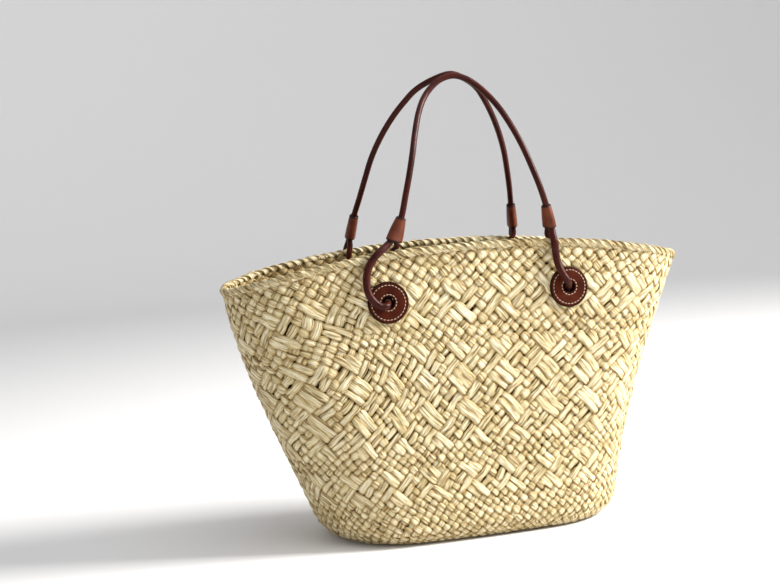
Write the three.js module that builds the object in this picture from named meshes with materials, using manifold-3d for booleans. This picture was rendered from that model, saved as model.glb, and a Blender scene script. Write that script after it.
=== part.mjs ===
// A woven straw beach tote with two rolled leather handles.
// Millimetres, +Z up. The origin is the centre of the base's underside, X runs along the bag's width
// and the front wall faces -Y.
import * as THREE from "three";
import { mergeVertices } from "three/addons/utils/BufferGeometryUtils.js";
import Module from "manifold-3d";

const wasm = await Module();
wasm.setup();

// Outside of the bag
const rimWidth = 480;
const rimDepth = 147;
const baseWidth = 305;
const baseDepth = 182;
const bagHeight = 290;
const rimEndDrop = 31;
const baseEdgeRadius = 24;
const sideSway = 9;
const wallThickness = 3;

// Rim braid: its corners are drawn out from a round section by the spread where a direction's share
// is below the limit
const rimBraidThickness = 5;
const rimBraidHeight = 7;
const braidCornerLimit = 0.5;
const braidCornerSpread = 1.5;

// Leather discs round the handle holes
const discRadius = 20.3;
const discThickness = 3;
const discHoleRadius = 6;
const discBevel = 0.6;
const discAcross = 93.3;
const discDrop = 47.4;

// Handles and sleeves
const legRadius = 3.7;
const archHeight = 166;
const wallHoleRadius = 5.4;
const sleeveMouthWidth = 17.8;
const sleeveMouthDepth = 11.4;
const sleeveTopRadius = 4.7;
const sleeveWall = 1.2;
const sleeveFlare = 1.6;
const tuckedEnd = 4;
const rimClearShare = 0.8;

// Gap between neighbouring pieces
const fitGap = 0.3;

// How finely the surfaces are divided
const ovalPoints = 64;
const discSides = 28;
const holeSides = 16;
const holeCutLength = 18;
const braidSides = 8;
const sleeveSides = 16;
const sleeveShares = [0, 0.3, 0.65, 1];
const cordSides = 8;
const stepsPerCordPoint = 2;
const depthPasses = 8;

// The wall's sections: shares of the height, and of the way from the base's sizes to the rim's.
// round is the ends' radius as a share of half the depth, and sway the share of sideSway by which
// a section lies towards -X.
const wallSections = [
  { up: 0, wide: 0, deep: 0, round: 0.975, sway: 0 },
  { up: 0.1, wide: 0.095, deep: 0.22, round: 0.97, sway: 0.36 },
  { up: 0.25, wide: 0.245, deep: 0.47, round: 0.965, sway: 0.75 },
  { up: 0.4, wide: 0.41, deep: 0.635, round: 0.96, sway: 0.96 },
  { up: 0.55, wide: 0.57, deep: 0.74, round: 0.955, sway: 1 },
  { up: 0.7, wide: 0.73, deep: 0.82, round: 0.95, sway: 0.84 },
  { up: 0.85, wide: 0.875, deep: 0.895, round: 0.945, sway: 0.5 },
  { up: 1, wide: 1, deep: 1, round: 0.94, sway: 0 },
];
const rimDropPower = 2.2;

// Shares of the height at which the wall has a ring of points, above the rounded base edge.
const ringShares = [0.16, 0.25, 0.36, 0.47, 0.58, 0.69, 0.8, 0.9];
const baseEdgeSteps = 4;

// The arches: shares of archHeight above the rim, of discAcross from the middle, and of half the rim's
// depth.
const frontArch = [
  { up: 0.3, across: 0.74, lean: 1.03 },
  { up: 0.42, across: 0.675, lean: 0.99 },
  { up: 0.54, across: 0.61, lean: 0.92 },
  { up: 0.66, across: 0.54, lean: 0.8 },
  { up: 0.78, across: 0.452, lean: 0.655 },
  { up: 0.87, across: 0.354, lean: 0.54 },
  { up: 0.93, across: 0.255, lean: 0.487 },
  { up: 0.975, across: 0.14, lean: 0.462 },
  { up: 0.995, across: 0, lean: 0.455 },
];
const backArch = [
  { up: 0.3, across: 0.89, lean: 0.65 },
  { up: 0.42, across: 0.836, lean: 0.52 },
  { up: 0.54, across: 0.776, lean: 0.4 },
  { up: 0.66, across: 0.687, lean: 0.265 },
  { up: 0.78, across: 0.566, lean: 0.11 },
  { up: 0.87, across: 0.446, lean: -0.03 },
  { up: 0.93, across: 0.345, lean: -0.13 },
  { up: 0.98, across: 0.19, lean: -0.25 },
  { up: 1.01, across: 0, lean: -0.345 },
];

// Outer legs from the rim down to the disc's hole: shares of discRadius away from the bag's middle,
// of discDrop above the disc's centre, and of the distance at which the cord lies over a disc.
const curledLeg = [
  { out: 0.404, up: 0.994, off: 0.85 },
  { out: 0.704, up: 0.846, off: 0.74 },
  { out: 0.906, up: 0.677, off: 0.68 },
  { out: 1.02, up: 0.466, off: 0.8 },
  { out: 0.989, up: 0.24, off: 1 },
  { out: 0.77, up: 0.062, off: 1.08 },
  { out: 0.434, up: -0.053, off: 1.08 },
  { out: 0.169, up: -0.06, off: 0.98 },
];
const slantedLeg = [
  { out: -0.66, up: 0.95, off: 0.78 },
  { out: -0.62, up: 0.74, off: 0.68 },
  { out: -0.57, up: 0.53, off: 0.8 },
  { out: -0.4, up: 0.29, off: 1.1 },
  { out: -0.15, up: 0.12, off: 1.12 },
];
const bowedLeg = [
  { out: 0.04, up: 0.95, off: 0.78 },
  { out: 0.16, up: 0.74, off: 0.68 },
  { out: 0.25, up: 0.53, off: 0.9 },
  { out: 0.2, up: 0.29, off: 1.1 },
  { out: 0.08, up: 0.11, off: 1.06 },
];

// Inner legs from the hole up to the rim: the same shares, and off is a share of the distance
// from the wall's outside to a cord that lies against its inside.
const innerLeg = [
  { out: 0, up: 0.12, off: 1.12 },
  { out: -0.05, up: 0.38, off: 1.08 },
  { out: -0.15, up: 0.68, off: 1.1 },
  { out: -0.3, up: 0.94, off: 1.26 },
];
const straightInnerLeg = [
  { out: 0, up: 0.12, off: 1.12 },
  { out: 0, up: 0.38, off: 1.08 },
  { out: 0.02, up: 0.68, off: 1.1 },
  { out: 0.02, up: 0.94, off: 1.26 },
];

// Girth of a cord along its route: shares of legRadius.
const girth = { end: 0.55, inside: 0.78, hole: 0.84, outside: 1, mouth: 0.9, arch: 0.83 };

// One row for each end of a handle. side is -1 for the front wall and hand -1 for the left. The sleeve's
// mouth and top are placed as the arches are, and turn is how far the mouth's long axis is turned, in
// degrees, from straight out of the wall towards the bag's end.
const handleEnds = [
  {
    name: "front_left", side: -1, hand: -1, turn: 75, leg: curledLeg, inner: innerLeg,
    mouth: { up: 0.043, across: 0.885, lean: 0.975 }, top: { up: 0.178, across: 0.8, lean: 1.03 },
  },
  {
    name: "front_right", side: -1, hand: 1, turn: 10, leg: slantedLeg, inner: innerLeg,
    mouth: { up: 0.057, across: 0.84, lean: 0.975 }, top: { up: 0.19, across: 0.795, lean: 1.03 },
  },
  {
    name: "back_left", side: 1, hand: -1, turn: -15, leg: bowedLeg, inner: straightInnerLeg,
    mouth: { up: 0.055, across: 0.975, lean: 0.93 }, top: { up: 0.195, across: 0.935, lean: 0.79 },
  },
  {
    name: "back_right", side: 1, hand: 1, turn: 12, leg: bowedLeg, inner: innerLeg,
    mouth: { up: 0.055, across: 0.98, lean: 0.93 }, top: { up: 0.195, across: 0.935, lean: 0.79 },
  },
];

const materials = {
  straw: new THREE.MeshStandardMaterial({ color: 0xd3bf8c, roughness: 0.75, metalness: 0 }),
  cordLeather: new THREE.MeshStandardMaterial({ color: 0x4b1e19, roughness: 0.4, metalness: 0 }),
  sleeveLeather: new THREE.MeshStandardMaterial({ color: 0x783c28, roughness: 0.45, metalness: 0 }),
  discLeather: new THREE.MeshStandardMaterial({ color: 0x5a2314, roughness: 0.5, metalness: 0 }),
};

// A column of the section table at a share of the height, as a smooth curve through the rows.
function sectionShare(column, up) {
  const last = wallSections.length - 1;
  const next = wallSections.findIndex((row, i) => i > 0 && (row.up >= up || i === last));
  const low = wallSections[next - 1];
  const high = wallSections[next];
  const before = wallSections[Math.max(next - 2, 0)];
  const after = wallSections[Math.min(next + 1, last)];
  const span = high.up - low.up;
  const t = THREE.MathUtils.clamp((up - low.up) / span, 0, 1);
  const slopeLow = ((high[column] - before[column]) / (high.up - before.up)) * span;
  const slopeHigh = ((after[column] - low[column]) / (after.up - low.up)) * span;
  const rise = high[column] - low[column];
  return (
    low[column] + slopeLow * t +
    (3 * rise - 2 * slopeLow - slopeHigh) * t * t +
    (slopeLow + slopeHigh - 2 * rise) * t * t * t
  );
}

// A section of the wall's outside: half width, half depth, end radius and shift. Near the base the
// rounded edge draws it in.
function wallSection(up) {
  const share = (from, to, column) => THREE.MathUtils.lerp(from, to, sectionShare(column, up));
  const below = Math.max(baseEdgeRadius - up * bagHeight, 0);
  const inset = baseEdgeRadius - Math.sqrt(baseEdgeRadius ** 2 - below ** 2);
  const fullHalfDepth = share(baseDepth, rimDepth, "deep") / 2;
  return {
    halfWidth: share(baseWidth, rimWidth, "wide") / 2 - inset,
    halfDepth: fullHalfDepth - inset,
    endRadius: fullHalfDepth * sectionShare("round", up) - inset,
    shift: -sideSway * sectionShare("sway", up),
  };
}

// A four-centre oval: two end arcs and two long arcs that meet them smoothly.
function ovalArcs({ halfWidth, halfDepth, endRadius }) {
  const endCentre = halfWidth - endRadius;
  const longRadius = (endCentre ** 2 + halfDepth ** 2 - endRadius ** 2) / (2 * (halfDepth - endRadius));
  const joint = Math.atan2(longRadius - halfDepth, endCentre);
  return { endCentre, longRadius, joint };
}

// The point of an oval at a share of its length, counter-clockwise from +X, and its outward direction.
function ovalPoint(section, share) {
  const { endCentre, longRadius, joint } = ovalArcs(section);
  const endLength = section.endRadius * joint;
  const quarter = endLength + longRadius * (Math.PI / 2 - joint);
  const quadrant = Math.floor(share * 4) % 4;
  const along = (share * 4 - Math.floor(share * 4)) * quarter;
  const run = quadrant % 2 ? quarter - along : along;
  const onEnd = run <= endLength;
  const angle = onEnd ? run / section.endRadius : joint + (run - endLength) / longRadius;
  const reach = onEnd ? section.endRadius : longRadius;
  const signX = quadrant === 1 || quadrant === 2 ? -1 : 1;
  const signY = quadrant >= 2 ? -1 : 1;
  return {
    x: signX * ((onEnd ? endCentre : 0) + reach * Math.cos(angle)),
    y: signY * ((onEnd ? 0 : section.halfDepth - longRadius) + reach * Math.sin(angle)),
    outX: signX * Math.cos(angle),
    outY: signY * Math.sin(angle),
  };
}

// How far a point of the wall has dropped below its section's height towards the bag's ends.
function endDrop(up, x, halfWidth) {
  return rimEndDrop * up ** 2 * (Math.abs(x) / halfWidth) ** rimDropPower;
}

// One ring of the wall at a share of the height: inset moves it inwards and lift moves it up.
function wallRing(up, inset, lift) {
  const section = wallSection(up);
  return Array.from({ length: ovalPoints }, (_, i) => {
    const p = ovalPoint(section, i / ovalPoints);
    const z = up * bagHeight - endDrop(up, p.x, section.halfWidth) + lift;
    return new THREE.Vector3(p.x - inset * p.outX + section.shift, p.y - inset * p.outY, z);
  });
}

// Half the depth of the wall's outside at a place across the bag and a height.
function wallHalfDepth(x, z) {
  let up = z / bagHeight;
  for (let i = 0; i < depthPasses; i += 1) {
    const { halfWidth, shift } = wallSection(up);
    up = (z + endDrop(up, x - shift, halfWidth)) / bagHeight;
  }
  const section = wallSection(Math.min(up, 1));
  const { endCentre, longRadius, joint } = ovalArcs(section);
  const fromMiddle = Math.abs(x - section.shift);
  if (fromMiddle < endCentre + section.endRadius * Math.cos(joint))
    return section.halfDepth - longRadius + Math.sqrt(longRadius ** 2 - fromMiddle ** 2);
  return Math.sqrt(section.endRadius ** 2 - (fromMiddle - endCentre) ** 2);
}

const rimSeat = 1 - (rimBraidHeight + fitGap) / bagHeight;

// Height of the rim braid's top at a place across the bag.
function rimTop(x) {
  return bagHeight - endDrop(rimSeat, x, wallSection(rimSeat).halfWidth);
}

// A closed surface through rings with equal numbers of points: a tube bent into a ring, or one with
// flat ends.
function loft(rings, joined) {
  const count = rings[0].length;
  const points = rings.flat();
  const faces = [];
  const bands = joined ? rings.length : rings.length - 1;
  for (let r = 0; r < bands; r += 1)
    for (let i = 0; i < count; i += 1) {
      const a = r * count + i;
      const b = r * count + ((i + 1) % count);
      const c = ((r + 1) % rings.length) * count + ((i + 1) % count);
      const d = ((r + 1) % rings.length) * count + i;
      faces.push(a, b, c, a, c, d);
    }
  if (!joined)
    for (const [ring, first, turn] of [[rings[0], 0, 1], [rings.at(-1), (rings.length - 1) * count, 0]]) {
      const centre = points.length;
      points.push(ring.reduce((sum, p) => sum.add(p), new THREE.Vector3()).divideScalar(count));
      for (let i = 0; i < count; i += 1) {
        const a = first + ((i + turn) % count);
        const b = first + ((i + 1 - turn) % count);
        faces.push(centre, a, b);
      }
    }
  const geometry = new THREE.BufferGeometry().setFromPoints(points);
  geometry.setIndex(faces);
  return geometry;
}

// A geometry as a solid for cutting, and a solid back as a geometry.
function toSolid(geometry) {
  const bare = geometry.clone();
  bare.deleteAttribute("normal");
  bare.deleteAttribute("uv");
  const merged = mergeVertices(bare);
  return new wasm.Manifold(
    new wasm.Mesh({
      numProp: 3,
      vertProperties: new Float32Array(merged.attributes.position.array),
      triVerts: new Uint32Array(merged.index.array),
    }),
  );
}
function toGeometry(solid) {
  const mesh = solid.getMesh();
  const geometry = new THREE.BufferGeometry();
  geometry.setAttribute("position", new THREE.BufferAttribute(mesh.vertProperties, 3));
  geometry.setIndex(new THREE.BufferAttribute(mesh.triVerts, 1));
  return geometry;
}

// Where a disc sits: the wall's point at its centre and the wall's outward direction there.
function discSeat({ side, hand }) {
  const x = hand * discAcross;
  const z = rimTop(x) - discDrop;
  const onWall = (px, pz) => new THREE.Vector3(px, side * wallHalfDepth(px, pz), pz);
  const centre = onWall(x, z);
  const across = onWall(x + discRadius, z).sub(onWall(x - discRadius, z));
  const upward = onWall(x, z + discRadius).sub(onWall(x, z - discRadius));
  const out = across.cross(upward).normalize();
  if (out.y * side < 0) out.negate();
  return { centre, out };
}

// The hollow bag: up the outside, over the rim's seat and down the inside, with four holes for the
// cords.
function basketBody() {
  const edgeShares = Array.from({ length: baseEdgeSteps + 1 }, (_, i) => {
    const angle = (i / baseEdgeSteps) * (Math.PI / 2);
    return ((1 - Math.cos(angle)) * baseEdgeRadius) / bagHeight;
  });
  const shares = [...edgeShares, ...ringShares, rimSeat];
  const outside = shares.map((up) => wallRing(up, 0, 0));
  const floorShare = wallThickness / bagHeight;
  const inside = shares
    .map((up) => {
      const nearBase = Math.max(0, 1 - (up * bagHeight) / baseEdgeRadius);
      return wallRing(up, wallThickness, wallThickness * nearBase);
    })
    .reverse();
  inside.at(-1).forEach((p) => (p.z = floorShare * bagHeight));
  let body = toSolid(loft([...outside, ...inside], false));
  for (const end of handleEnds) {
    const { centre, out } = discSeat(end);
    const hole = new THREE.CylinderGeometry(wallHoleRadius, wallHoleRadius, holeCutLength, holeSides);
    hole.applyQuaternion(new THREE.Quaternion().setFromUnitVectors(new THREE.Vector3(0, 1, 0), out));
    hole.translate(centre.x, centre.y, centre.z);
    body = body.subtract(toSolid(hole));
  }
  return toGeometry(body);
}

// How far a side of the braid's section lies out, for a direction's share.
function braidCorner(share) {
  return Math.abs(share) > braidCornerLimit ? Math.sign(share) : share * braidCornerSpread;
}

// The braid on the rim: a band with rounded corners carried round above the wall's top.
function rimBraid() {
  const seat = wallSection(rimSeat);
  const rings = Array.from({ length: ovalPoints }, (_, i) => {
    const p = ovalPoint(seat, i / ovalPoints);
    const top = rimTop(p.x);
    return Array.from({ length: braidSides }, (_, k) => {
      const angle = (-(k + 0.5) / braidSides) * 2 * Math.PI;
      const across = braidCorner(Math.cos(angle));
      const height = braidCorner(Math.sin(angle));
      const away = (across * rimBraidThickness) / 2 - wallThickness / 2;
      return new THREE.Vector3(
        p.x + away * p.outX + seat.shift,
        p.y + away * p.outY,
        top + ((height - 1) * rimBraidHeight) / 2,
      );
    });
  });
  return loft(rings, true);
}

// A leather disc with a hole, turned about its own axis and set against the wall.
function discMesh(end) {
  const profile = [
    [discHoleRadius, 0],
    [discRadius - discBevel, 0],
    [discRadius, discBevel],
    [discRadius, discThickness - discBevel],
    [discRadius - discBevel, discThickness],
    [discHoleRadius, discThickness],
    [discHoleRadius, 0],
  ].map(([radius, height]) => new THREE.Vector2(radius, height));
  const mesh = new THREE.Mesh(new THREE.LatheGeometry(profile, discSides), materials.discLeather);
  const { centre, out } = discSeat(end);
  mesh.quaternion.setFromUnitVectors(new THREE.Vector3(0, 1, 0), out);
  mesh.position.copy(centre).addScaledVector(out, fitGap);
  return mesh;
}

// A place given as shares of archHeight above the rim, of discAcross and of half the rim's depth.
function archPoint({ side, hand }, { up, across, lean }) {
  return new THREE.Vector3(
    hand * across * discAcross,
    (side * lean * rimDepth) / 2,
    bagHeight + up * archHeight,
  );
}

// A sleeve's axis from mouth to top, and the direction from the inner leg to the outer leg at its
// mouth.
function sleeveFrame(end) {
  const mouth = archPoint(end, end.mouth);
  const top = archPoint(end, end.top);
  const axis = top.clone().sub(mouth).normalize();
  const turn = THREE.MathUtils.degToRad(end.turn);
  const wide = new THREE.Vector3(end.hand * Math.sin(turn), end.side * Math.cos(turn), 0);
  wide.addScaledVector(axis, -wide.dot(axis)).normalize();
  return { mouth, top, axis, wide, deep: axis.clone().cross(wide) };
}

// The sleeve: an oval mouth over two cord legs, narrowing to a round top over one.
function sleeveGeometry(end) {
  const { mouth, top, wide, deep } = sleeveFrame(end);
  const ring = (share, inset) =>
    Array.from({ length: sleeveSides }, (_, i) => {
      const angle = (i / sleeveSides) * 2 * Math.PI;
      const open = 1 - share ** sleeveFlare;
      const halfWide = THREE.MathUtils.lerp(sleeveTopRadius, sleeveMouthWidth / 2, open) - inset;
      const halfDeep = THREE.MathUtils.lerp(sleeveTopRadius, sleeveMouthDepth / 2, open) - inset;
      return mouth.clone().lerp(top, share)
        .addScaledVector(wide, halfWide * Math.cos(angle))
        .addScaledVector(deep, halfDeep * Math.sin(angle));
    });
  const outside = sleeveShares.map((share) => ring(share, 0));
  const inside = sleeveShares.map((share) => ring(share, sleeveWall)).reverse();
  return loft([...outside, ...inside], true);
}

// One end of a handle, from the tucked end inside the sleeve, down inside the wall, out through the
// disc, up outside and through the sleeve to its top: points with the cord's girth there.
function legRoute(end) {
  const { mouth, top, axis, wide } = sleeveFrame(end);
  const { centre, out } = discSeat(end);
  const place = (row, distance) => {
    const x = centre.x + end.hand * row.out * discRadius;
    const z = centre.z + row.up * discDrop;
    return new THREE.Vector3(x, end.side * (wallHalfDepth(x, z) + distance), z);
  };
  const overDisc = discThickness + 2 * fitGap + legRadius;
  const innerRadius = legRadius * girth.inside;
  const outerRadius = legRadius * girth.mouth;
  const behindWall = wallThickness + fitGap + innerRadius;
  const innerMouth = mouth.clone().addScaledVector(wide, -outerRadius - fitGap / 2);
  const outerMouth = mouth.clone().addScaledVector(wide, innerRadius + fitGap / 2);
  const halfRim = wallHalfDepth(mouth.x, rimTop(mouth.x) - rimBraidHeight) - wallThickness / 2;
  const besideRim = halfRim - (rimBraidThickness / 2 + innerRadius) * rimClearShare;
  const overRim = new THREE.Vector3(
    innerMouth.x,
    end.side * Math.min(besideRim, innerMouth.y * end.side),
    rimTop(mouth.x) + innerRadius + 2 * fitGap,
  );
  return [
    { at: innerMouth.clone().addScaledVector(axis, tuckedEnd), girth: girth.end },
    { at: innerMouth, girth: girth.inside },
    { at: overRim, girth: girth.inside },
    ...end.inner.toReversed().map((row) => ({ at: place(row, -behindWall * row.off), girth: girth.inside })),
    { at: centre.clone().addScaledVector(out, -wallThickness), girth: girth.hole },
    { at: centre.clone().addScaledVector(out, discThickness / 2), girth: girth.hole },
    ...end.leg.toReversed().map((row) => ({ at: place(row, overDisc * row.off), girth: girth.outside })),
    { at: outerMouth, girth: girth.mouth },
    { at: mouth.clone().lerp(top, 0.5).addScaledVector(wide, innerRadius / 2), girth: girth.arch },
    { at: top, girth: girth.arch },
  ];
}

// A handle: one cord from a tucked end over the arch to the other tucked end.
function handleGeometry(side, arch) {
  const [left, right] = handleEnds.filter((end) => end.side === side);
  const rise = arch.map((row) => ({ at: archPoint(left, row), girth: girth.arch }));
  const fall = arch.slice(0, -1).reverse().map((row) => ({ at: archPoint(right, row), girth: girth.arch }));
  const route = [...legRoute(left), ...rise, ...fall, ...legRoute(right).reverse()];
  return cordGeometry(route);
}

// A cord of varying girth: a round section carried along a smooth curve through the route's points.
function cordGeometry(route) {
  const curve = new THREE.CatmullRomCurve3(route.map((stop) => stop.at), false, "centripetal");
  const spans = route.length - 1;
  const steps = spans * stepsPerCordPoint;
  const across = new THREE.Vector3(0, 1, 0);
  const rings = Array.from({ length: steps + 1 }, (_, i) => {
    const t = i / steps;
    const centre = curve.getPoint(t);
    const tangent = curve.getTangent(t);
    across.addScaledVector(tangent, -across.dot(tangent)).normalize();
    const second = tangent.clone().cross(across);
    const span = Math.min(Math.floor(t * spans), spans - 1);
    const share = THREE.MathUtils.lerp(route[span].girth, route[span + 1].girth, t * spans - span);
    return Array.from({ length: cordSides }, (_, k) => {
      const angle = (k / cordSides) * 2 * Math.PI;
      return centre.clone()
        .addScaledVector(across, legRadius * share * Math.cos(angle))
        .addScaledVector(second, legRadius * share * Math.sin(angle));
    });
  });
  return loft(rings, false);
}

const tote = new THREE.Group();

function addPiece(name, piece, material) {
  const mesh = piece.isMesh ? piece : new THREE.Mesh(piece, material);
  mesh.name = name;
  tote.add(mesh);
}

addPiece("basket_body", basketBody(), materials.straw);
addPiece("rim_braid", rimBraid(), materials.straw);
for (const end of handleEnds) {
  addPiece("disc_" + end.name, discMesh(end));
  addPiece("sleeve_" + end.name, sleeveGeometry(end), materials.sleeveLeather);
}
addPiece("handle_front", handleGeometry(-1, frontArch), materials.cordLeather);
addPiece("handle_back", handleGeometry(1, backArch), materials.cordLeather);

export default tote;
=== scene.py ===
# A woven straw beach tote with rolled leather handles. Metres, +Z up, front wall facing -Y.
import math

import bpy
import numpy as np
from mathutils import Matrix, Vector


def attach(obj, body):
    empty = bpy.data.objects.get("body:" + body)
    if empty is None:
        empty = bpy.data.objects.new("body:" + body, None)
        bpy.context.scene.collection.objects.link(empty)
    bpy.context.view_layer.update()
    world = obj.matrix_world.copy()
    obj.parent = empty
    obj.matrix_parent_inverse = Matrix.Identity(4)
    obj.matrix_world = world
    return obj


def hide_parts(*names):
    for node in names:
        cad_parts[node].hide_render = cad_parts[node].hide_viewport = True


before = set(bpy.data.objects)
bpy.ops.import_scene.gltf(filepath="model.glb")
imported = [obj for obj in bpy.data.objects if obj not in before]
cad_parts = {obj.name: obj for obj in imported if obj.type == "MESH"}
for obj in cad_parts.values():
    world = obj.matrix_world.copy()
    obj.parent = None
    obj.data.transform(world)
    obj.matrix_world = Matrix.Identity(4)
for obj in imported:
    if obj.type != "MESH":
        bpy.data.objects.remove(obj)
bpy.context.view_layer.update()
print("frame loaded")

dice = np.random.default_rng(11)

# The bag's shape, as in the part's source

bag = {
    "rimWide": 0.480,
    "rimDeep": 0.147,
    "baseWide": 0.305,
    "baseDeep": 0.182,
    "high": 0.290,
    "rimEndDrop": 0.031,
    "dropPower": 2.2,
    "baseEdge": 0.024,
    "sway": 0.009,
    "wall": 0.003,
    "braidDeep": 0.005,
    "braidHigh": 0.007,
    "gap": 0.0003,
}

# columns: up, wide, deep, round, sway
wallRows = np.array([
    [0, 0, 0, 0.975, 0],
    [0.1, 0.095, 0.22, 0.97, 0.36],
    [0.25, 0.245, 0.47, 0.965, 0.75],
    [0.4, 0.41, 0.635, 0.96, 0.96],
    [0.55, 0.57, 0.74, 0.955, 1],
    [0.7, 0.73, 0.82, 0.95, 0.84],
    [0.85, 0.875, 0.895, 0.945, 0.5],
    [1, 1, 1, 0.94, 0],
])
rimSeat = 1 - (bag["braidHigh"] + bag["gap"]) / bag["high"]


def unitVector(v):
    # each vector divided by its length
    return v / np.linalg.norm(v, axis=-1, keepdims=True)


def ease(t):
    # smooth step from 0 to 1
    t = np.clip(t, 0, 1)
    return t * t * (3 - 2 * t)


def rowShare(column, up):
    # cubic curve through the table's rows, with each slope taken from the rows on both sides
    ups, values = wallRows[:, 0], wallRows[:, column]
    last = len(ups) - 1
    low = np.clip(np.searchsorted(ups, up, side="left") - 1, 0, last - 1)
    high = low + 1
    before, after = np.maximum(low - 1, 0), np.minimum(high + 1, last)
    span = ups[high] - ups[low]
    t = np.clip((up - ups[low]) / span, 0, 1)
    slopeLow = (values[high] - values[before]) / (ups[high] - ups[before]) * span
    slopeHigh = (values[after] - values[low]) / (ups[after] - ups[low]) * span
    rise = values[high] - values[low]
    return (
        values[low] + slopeLow * t
        + (3 * rise - 2 * slopeLow - slopeHigh) * t**2
        + (slopeLow + slopeHigh - 2 * rise) * t**3
    )


def wallSection(up):
    # half width, half depth, end radius and shift of the wall's outside; the base edge is a quarter
    # circle, and below zero the surface runs on inwards across the base
    up = np.asarray(up, float)
    edge = bag["baseEdge"]
    below = np.clip(edge - np.maximum(up, 0) * bag["high"], 0, edge)
    inset = edge - np.sqrt(edge**2 - below**2) + np.maximum(-up, 0) * bag["high"]
    halfWide = (bag["baseWide"] + (bag["rimWide"] - bag["baseWide"]) * rowShare(1, up)) / 2
    halfDeep = (bag["baseDeep"] + (bag["rimDeep"] - bag["baseDeep"]) * rowShare(2, up)) / 2
    return (
        halfWide - inset,
        halfDeep - inset,
        halfDeep * rowShare(3, up) - inset,
        -bag["sway"] * rowShare(4, up),
    )


def ovalParts(halfWide, halfDeep, endRadius):
    # an oval of two end arcs and two long arcs: end centre, long radius, joint angle, quarter length
    endCentre = halfWide - endRadius
    longRadius = (endCentre**2 + halfDeep**2 - endRadius**2) / (2 * (halfDeep - endRadius))
    joint = np.arctan2(longRadius - halfDeep, endCentre)
    quarter = endRadius * joint + longRadius * (math.pi / 2 - joint)
    return endCentre, longRadius, joint, quarter


def endDrop(up, x, halfWide):
    # how far the wall's point lies below its section's height towards the bag's ends
    return bag["rimEndDrop"] * np.maximum(up, 0) ** 2 * (np.abs(x) / halfWide) ** bag["dropPower"]


def wallPoint(turn, up):
    # point of the wall's outside at a share of the way round and a share of the height
    halfWide, halfDeep, endRadius, shift = wallSection(up)
    endCentre, longRadius, joint, quarter = ovalParts(halfWide, halfDeep, endRadius)
    quadrant = np.floor((turn % 1) * 4)
    along = ((turn % 1) * 4 - quadrant) * quarter
    run = np.where(quadrant % 2 == 1, quarter - along, along)
    endRun = endRadius * joint
    onEnd = run <= endRun
    angle = np.where(onEnd, run / endRadius, joint + (run - endRun) / longRadius)
    reach = np.where(onEnd, endRadius, longRadius)
    signX = np.where((quadrant == 1) | (quadrant == 2), -1, 1)
    signY = np.where(quadrant >= 2, -1, 1)
    x = signX * (np.where(onEnd, endCentre, 0) + reach * np.cos(angle))
    y = signY * (np.where(onEnd, 0, halfDeep - longRadius) + reach * np.sin(angle))
    z = np.maximum(up, 0) * bag["high"] - endDrop(up, x, halfWide)
    return np.stack([x + shift, y, z], -1)


def wallNormal(turn, up):
    # outward normal: the cross product of the steps round and upwards
    small = 1e-4
    around = wallPoint(turn + small, up) - wallPoint(turn - small, up)
    upwards = wallPoint(turn, up + small) - wallPoint(turn, up - small)
    return unitVector(np.cross(around, upwards))


def wallHalfDeep(x, z):
    # half the depth of the wall's outside at a place across the bag and a height
    up = z / bag["high"]
    for _ in range(8):
        halfWide, _, _, shift = wallSection(up)
        up = (z + endDrop(up, x - shift, halfWide)) / bag["high"]
    halfWide, halfDeep, endRadius, shift = wallSection(np.minimum(up, 1))
    endCentre, longRadius, joint, _ = ovalParts(halfWide, halfDeep, endRadius)
    fromMiddle = abs(x - shift)
    if fromMiddle < endCentre + endRadius * math.cos(joint):
        return float(halfDeep - longRadius + math.sqrt(longRadius**2 - fromMiddle**2))
    return float(math.sqrt(endRadius**2 - (fromMiddle - endCentre) ** 2))


def rimTop(x):
    # height of the rim's top at a place across the bag
    return bag["high"] - endDrop(rimSeat, x, wallSection(rimSeat)[0])


# Meshes and materials


def meshObject(name, points, faces, material, **attributes):
    # an object at the origin from points, groups of faces and values held at the points
    mesh = bpy.data.meshes.new(name)
    points = np.asarray(points, np.float32).reshape(-1, 3)
    mesh.vertices.add(len(points))
    mesh.vertices.foreach_set("co", points.ravel())
    corners = np.concatenate([np.asarray(f, np.int32).ravel() for f in faces])
    sizes = np.concatenate([np.full(len(f), f.shape[1], np.int32) for f in faces])
    mesh.loops.add(len(corners))
    mesh.loops.foreach_set("vertex_index", corners)
    mesh.polygons.add(len(sizes))
    mesh.polygons.foreach_set("loop_start", np.cumsum(sizes, dtype=np.int32) - sizes)
    mesh.polygons.foreach_set("use_smooth", np.ones(len(sizes), bool))
    for label, values in attributes.items():
        values = np.asarray(values, np.float32)
        kind = "FLOAT_VECTOR" if values.shape[-1] == 3 else "FLOAT"
        field = "vector" if kind == "FLOAT_VECTOR" else "value"
        mesh.attributes.new(label, kind, "POINT").data.foreach_set(field, values.ravel())
    mesh.update(calc_edges=True)
    mesh.validate()
    mesh.materials.append(material)
    thing = bpy.data.objects.new(name, mesh)
    bpy.context.scene.collection.objects.link(thing)
    return thing


def tubeFaces(tubes, rings, sides, start=0):
    # quads round and along each tube, and one flat face over each end; rings run along, sides turn
    # left-handed about the run so that the faces look outwards
    tube, ring, side = np.meshgrid(
        np.arange(tubes), np.arange(rings - 1), np.arange(sides), indexing="ij"
    )
    base = start + tube * rings * sides
    following = (side + 1) % sides
    quads = np.stack([
        base + ring * sides + side,
        base + ring * sides + following,
        base + (ring + 1) * sides + following,
        base + (ring + 1) * sides + side,
    ], -1).reshape(-1, 4)
    tube, side = np.meshgrid(np.arange(tubes), np.arange(sides), indexing="ij")
    base = start + tube * rings * sides
    first = base + side[:, ::-1]
    last = base + (rings - 1) * sides + side
    return quads, np.concatenate([first, last])


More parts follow.
